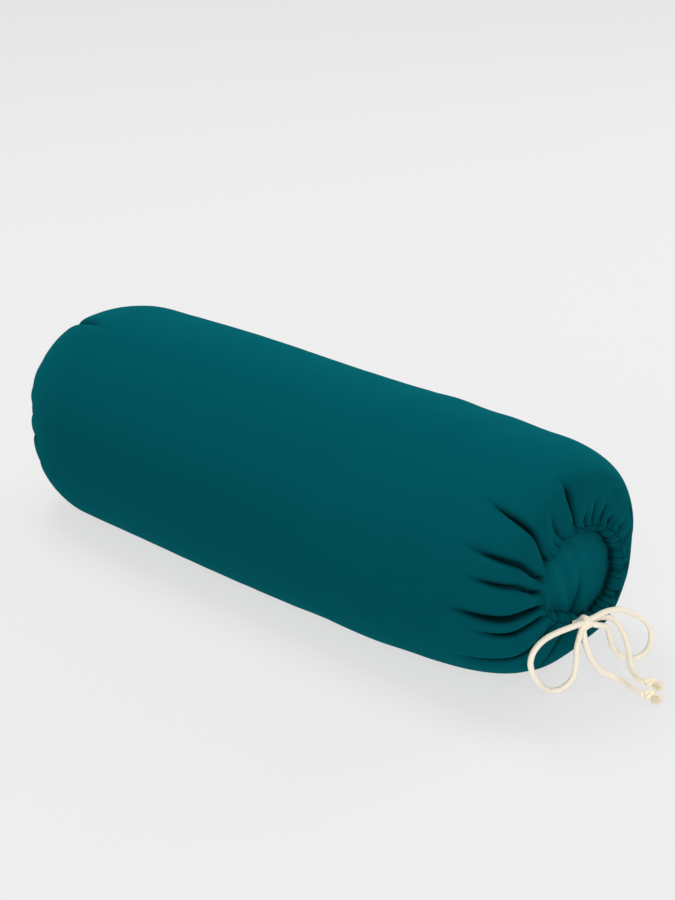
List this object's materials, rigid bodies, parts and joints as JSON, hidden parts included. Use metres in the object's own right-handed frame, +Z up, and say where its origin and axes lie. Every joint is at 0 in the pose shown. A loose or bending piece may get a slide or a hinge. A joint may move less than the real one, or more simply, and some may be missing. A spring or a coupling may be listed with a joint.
{
  "type": "bolster pillow",
  "caption": "Round yoga and massage bolster: a filled inner pillow in a gathered cloth cover that a drawstring bow closes.",
  "frame": {"origin": "on the floor, under the middle of the bolster", "axes": "+X along the bolster towards the drawstring mouth, +Z up"},
  "size_m": [0.724, 0.2318, 0.2232],
  "materials": {
    "cover_cloth": "matte dark teal cotton twill",
    "inner_cloth": "matte dark teal cotton",
    "cotton_cord": "matte off-white braided cotton",
    "husk_fill": "matte husks",
    "zip_tape": "matte woven tape",
    "zip_coil": "satin nylon coil",
    "zip_metal": "satin nickel",
    "label_cloth": "satin woven tape"
  },
  "bodies": {
    "cover": {"cover_sleeve": "cover_cloth", "cover_far_gather": "cover_cloth", "cover_end_patch": "cover_cloth", "cover_mouth_gather": "cover_cloth", "drawstring_channel": "cover_cloth", "drawstring": "cotton_cord", "bow_knot": "cotton_cord", "bow_loop_left": "cotton_cord", "bow_loop_right": "cotton_cord", "tail_front": "cotton_cord", "tail_back": "cotton_cord", "tail_front_knot": "cotton_cord", "tail_back_knot": "cotton_cord", "care_label": "label_cloth"},
    "inner_pillow": {"inner_casing": "inner_cloth", "inner_end_near": "inner_cloth", "inner_end_far": "inner_cloth", "inner_fill": "husk_fill", "zip_tape_left": "zip_tape", "zip_tape_right": "zip_tape", "zip_coil_left": "zip_coil", "zip_coil_right": "zip_coil", "zip_top_stop": "zip_metal", "zip_bottom_stop": "zip_metal"},
    "zip_slider": {"zip_slider": "zip_metal"},
    "zip_pull": {"zip_pull": "zip_metal"}
  },
  "joints": [
    {"name": "inner_pillow_slide", "type": "slide", "parent": "cover", "child": "inner_pillow", "axis": [1, 0, 0], "range_m": [0, 0.8], "deforming": ["cover_mouth_gather", "drawstring_channel", "drawstring", "bow_knot", "bow_loop_left", "bow_loop_right", "tail_front", "tail_back", "tail_front_knot", "tail_back_knot"]},
    {"name": "zip_slide", "type": "slide", "parent": "inner_pillow", "child": "zip_slider", "axis": [-1, 0, 0], "range_m": [0, 0.35]},
    {"name": "zip_pull_swing", "type": "hinge", "parent": "zip_slider", "child": "zip_pull", "pos_m": [0.183, 0, 0.2087], "axis": [0, 1, 0], "range_deg": [0, 8]}
  ]
}
